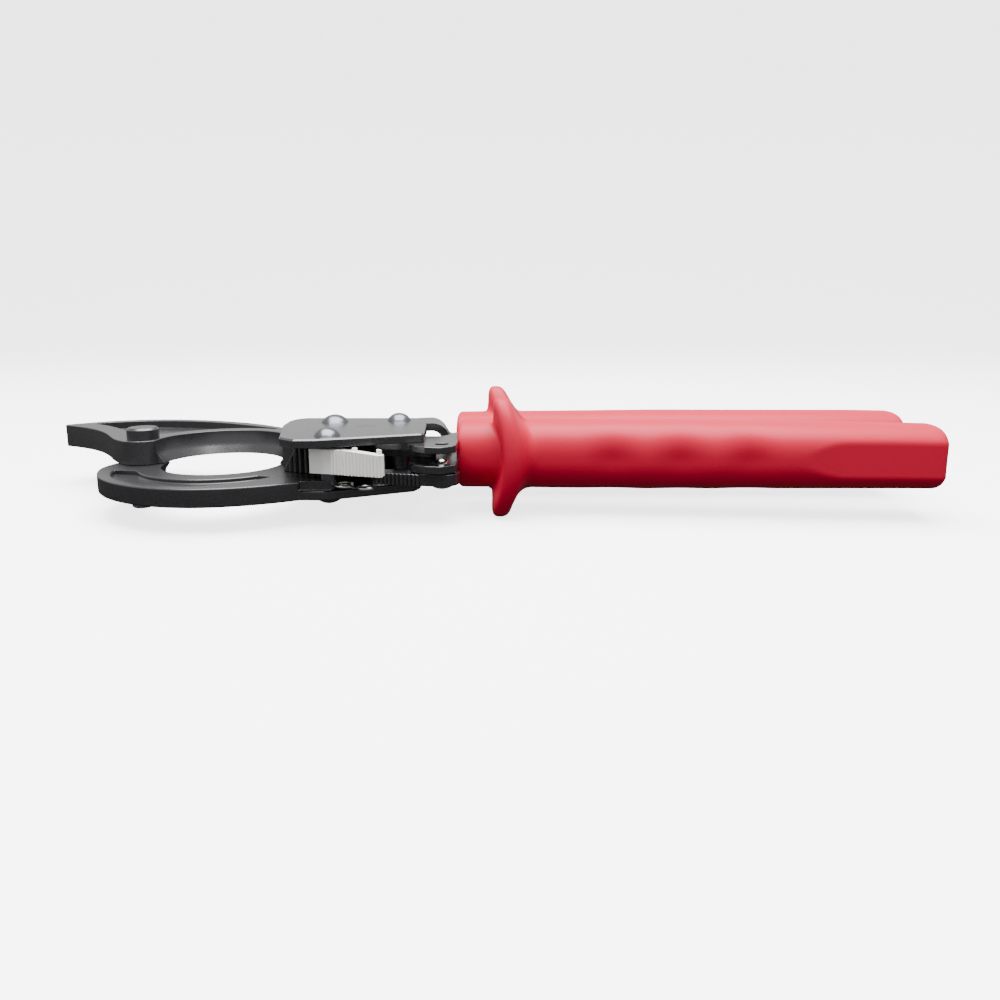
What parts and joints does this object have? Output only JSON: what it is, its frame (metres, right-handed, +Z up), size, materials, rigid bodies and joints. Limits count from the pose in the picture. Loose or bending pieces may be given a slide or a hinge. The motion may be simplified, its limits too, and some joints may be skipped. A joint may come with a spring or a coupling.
{
  "type": "ratcheting cable cutter",
  "caption": "One-hand ratcheting cable cutter: two crescent jaws that close round a cable, a plate-cased ratchet head and two thick dipped grips with hand guards.",
  "frame": {"origin": "middle of the footprint, on the bench that the tool lies on", "axes": "+X from the jaws to the handle butts, +Y towards the fixed handle, +Z up out of the cover plate"},
  "size_m": [0.3146, 0.095, 0.039],
  "materials": {
    "forged_steel": "black oxide, semi-gloss",
    "plate_steel": "black oxide, semi-gloss",
    "rivet_steel": "polished dark steel",
    "bright_steel": "bright plated",
    "lever_zinc": "matt, blasted",
    "tang_steel": "satin",
    "bronze": "satin",
    "grip_red": "smooth dipped vinyl, satin"
  },
  "bodies": {
    "frame": {"fixed_jaw_frame": "forged_steel", "jaw_stud": "rivet_steel", "cover_plate": "plate_steel", "main_bolt": "rivet_steel", "pivot_bush": "bronze", "release_lever_pin": "rivet_steel", "handle_pivot_pin": "rivet_steel", "spring_anchor_pin": "rivet_steel", "release_spring": "bright_steel", "fixed_handle_tang": "tang_steel", "fixed_tang_rivets": "tang_steel", "fixed_grip": "grip_red"},
    "moving_jaw": {"moving_jaw": "forged_steel", "tip_pin": "forged_steel"},
    "moving_handle": {"upper_link": "plate_steel", "lower_link": "plate_steel", "handle_tang": "tang_steel", "link_rivets": "tang_steel", "drive_pawl_pin": "rivet_steel", "latch_pin": "bright_steel", "moving_grip": "grip_red"},
    "drive_pawl": {"drive_pawl": "tang_steel"},
    "release_lever": {"release_lever": "lever_zinc"},
    "lock_lever": {"lock_lever": "plate_steel"}
  },
  "joints": [
    {"name": "jaw_hinge", "type": "hinge", "parent": "frame", "child": "moving_jaw", "pos_m": [-0.04488, -0.00115, 0.0183], "axis": [0, 0, 1], "range_deg": [-35, 58]},
    {"name": "handle_hinge", "type": "hinge", "parent": "frame", "child": "moving_handle", "pos_m": [-0.02288, 0.00335, 0.0183], "axis": [0, 0, 1], "range_deg": [-12, 0]},
    {"name": "drive_pawl_hinge", "type": "hinge", "parent": "moving_handle", "child": "drive_pawl", "pos_m": [-0.01188, -0.01915, 0.0213], "axis": [0, 0, 1], "range_deg": [0, 24.5]},
    {"name": "release_lever_hinge", "type": "hinge", "parent": "frame", "child": "release_lever", "pos_m": [-0.04088, -0.03315, 0.0203], "axis": [0, 0, 1], "range_deg": [0, 8], "stiffness_Nm_per_rad": 0.15, "springref_deg": -11.46},
    {"name": "lock_lever_hinge", "type": "hinge", "parent": "moving_handle", "child": "lock_lever", "pos_m": [-0.00528, -0.03185, 0.0143], "axis": [0, 0, 1], "range_deg": [0, 22]}
  ],
  "couplings": [
    {"joint": "drive_pawl_hinge", "follows": "handle_hinge", "ratio": -2}
  ]
}
